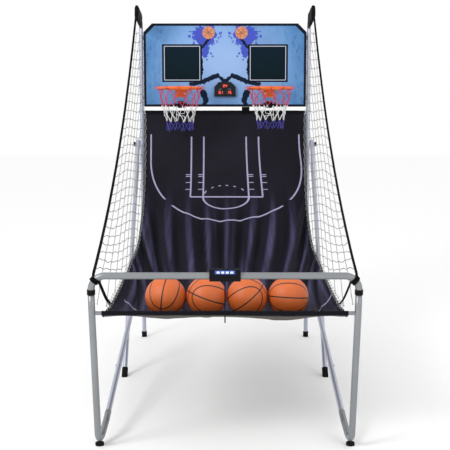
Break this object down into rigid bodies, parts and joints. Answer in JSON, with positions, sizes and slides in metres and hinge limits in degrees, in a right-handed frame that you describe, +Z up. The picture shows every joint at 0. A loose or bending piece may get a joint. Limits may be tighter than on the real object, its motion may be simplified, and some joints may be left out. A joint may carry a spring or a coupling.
{
  "type": "basketball hoop machine",
  "caption": "Folding two-player basketball hoop machine: tube frame, printed backboard, netted hoops, cloth ramp, side nets and score display.",
  "frame": {"origin": "on the floor, in the middle of the footprint", "axes": "+X to the player's right, +Y from the player to the backboard, +Z up"},
  "size_m": [1.126, 2.0649, 2.0252],
  "materials": {
    "frame_grey": "satin",
    "frame_silver": "satin",
    "arm_tube": "satin",
    "steel": "zinc plated",
    "foot_rubber": "matt",
    "black_plastic": "fine texture",
    "board_blue": "printed laminate",
    "board_edge": "satin",
    "display_red": "gloss",
    "hoop_orange": "gloss",
    "hoop_cord": "braided",
    "black_cloth": "coated polyester",
    "white_mesh": "knotted cord",
    "plate_blue": "gloss",
    "button_white": "satin",
    "cable_black": "matt",
    "ball_orange": "pebbled"
  },
  "bodies": {
    "rear_stand": {"left_upright": "frame_silver", "right_upright": "frame_silver", "left_strut": "frame_silver", "right_strut": "frame_silver", "left_tie_tube": "frame_silver", "right_tie_tube": "frame_silver", "lower_rear_bar": "frame_silver", "ramp_top_bar": "frame_silver", "board_bar": "frame_silver", "rear_feet": "foot_rubber", "left_net_arm": "arm_tube", "right_net_arm": "arm_tube", "left_arm_sleeve": "black_cloth", "right_arm_sleeve": "black_cloth", "strut_bolts": "steel", "board_panel": "board_blue", "board_trim": "board_edge", "board_clips": "steel", "scoreboard_case": "black_plastic", "scoreboard_displays": "display_red", "centre_strap": "black_cloth", "left_hoop": "hoop_orange", "right_hoop": "hoop_orange", "hoop_brackets": "hoop_orange", "hoop_bolts": "steel", "left_hoop_net": "hoop_cord", "right_hoop_net": "hoop_cord", "sensor_housings": "black_plastic", "ramp": "black_cloth", "left_net": "white_mesh", "right_net": "white_mesh", "left_strap": "black_cloth", "right_strap": "black_cloth"},
    "front_frame": {"left_front_leg": "frame_grey", "right_front_leg": "frame_grey", "left_side_tube": "frame_silver", "right_side_tube": "frame_silver", "top_bar": "frame_grey", "bar_collars": "black_cloth", "crossbar": "frame_grey", "front_hem": "black_cloth", "pivot_bolts": "steel", "side_bolts": "steel", "front_feet": "foot_rubber", "control_box": "black_plastic", "control_plate": "plate_blue", "control_cable": "cable_black"},
    "left_knob": {"left_knob": "black_plastic"},
    "right_knob": {"right_knob": "black_plastic"},
    "left_sensor": {"left_sensor_arm": "black_plastic"},
    "right_sensor": {"right_sensor_arm": "black_plastic"},
    "button_1": {"button_1": "button_white"},
    "button_2": {"button_2": "button_white"},
    "button_3": {"button_3": "button_white"},
    "button_4": {"button_4": "button_white"},
    "ball_1": {"ball_1": "ball_orange"},
    "ball_2": {"ball_2": "ball_orange"},
    "ball_3": {"ball_3": "ball_orange"},
    "ball_4": {"ball_4": "ball_orange"}
  },
  "joints": [
    {"name": "front_frame_fold", "type": "hinge", "parent": "rear_stand", "child": "front_frame", "pos_m": [0, 0.37882, 0.345], "axis": [-1, 0, 0], "range_deg": [0, 75], "deforming": ["ramp", "left_net", "right_net", "left_strap", "right_strap"]},
    {"name": "left_knob_turn", "type": "hinge", "parent": "rear_stand", "child": "left_knob", "pos_m": [-0.557, 1.008, 1.215], "axis": [-1, 0, 0], "continuous": true},
    {"name": "right_knob_turn", "type": "hinge", "parent": "rear_stand", "child": "right_knob", "pos_m": [0.557, 1.008, 1.215], "axis": [1, 0, 0], "continuous": true},
    {"name": "left_sensor_swing", "type": "hinge", "parent": "rear_stand", "child": "left_sensor", "pos_m": [-0.268, 0.9445, 1.458], "axis": [1, 0, 0], "range_deg": [0, 35], "stiffness_Nm_per_rad": 0.12, "springref_deg": -34.38},
    {"name": "right_sensor_swing", "type": "hinge", "parent": "rear_stand", "child": "right_sensor", "pos_m": [0.268, 0.9445, 1.458], "axis": [1, 0, 0], "range_deg": [0, 35], "stiffness_Nm_per_rad": 0.12, "springref_deg": -34.38},
    {"name": "button_1_press", "type": "slide", "parent": "front_frame", "child": "button_1", "axis": [0, 1, 0], "range_m": [0, 0.0025], "stiffness_N_per_m": 400, "springref_m": -0.001},
    {"name": "button_2_press", "type": "slide", "parent": "front_frame", "child": "button_2", "axis": [0, 1, 0], "range_m": [0, 0.0025], "stiffness_N_per_m": 400, "springref_m": -0.001},
    {"name": "button_3_press", "type": "slide", "parent": "front_frame", "child": "button_3", "axis": [0, 1, 0], "range_m": [0, 0.0025], "stiffness_N_per_m": 400, "springref_m": -0.001},
    {"name": "button_4_press", "type": "slide", "parent": "front_frame", "child": "button_4", "axis": [0, 1, 0], "range_m": [0, 0.0025], "stiffness_N_per_m": 400, "springref_m": -0.001},
    {"name": "ball_1_spin", "type": "hinge", "parent": "front_frame", "child": "ball_1", "pos_m": [-0.25375, -0.757, 0.613], "axis": [1, 0, 0], "continuous": true},
    {"name": "ball_2_spin", "type": "hinge", "parent": "front_frame", "child": "ball_2", "pos_m": [-0.07925, -0.757, 0.613], "axis": [1, 0, 0], "continuous": true},
    {"name": "ball_3_spin", "type": "hinge", "parent": "front_frame", "child": "ball_3", "pos_m": [0.09525, -0.757, 0.613], "axis": [1, 0, 0], "continuous": true},
    {"name": "ball_4_spin", "type": "hinge", "parent": "front_frame", "child": "ball_4", "pos_m": [0.26975, -0.757, 0.613], "axis": [1, 0, 0], "continuous": true}
  ]
}
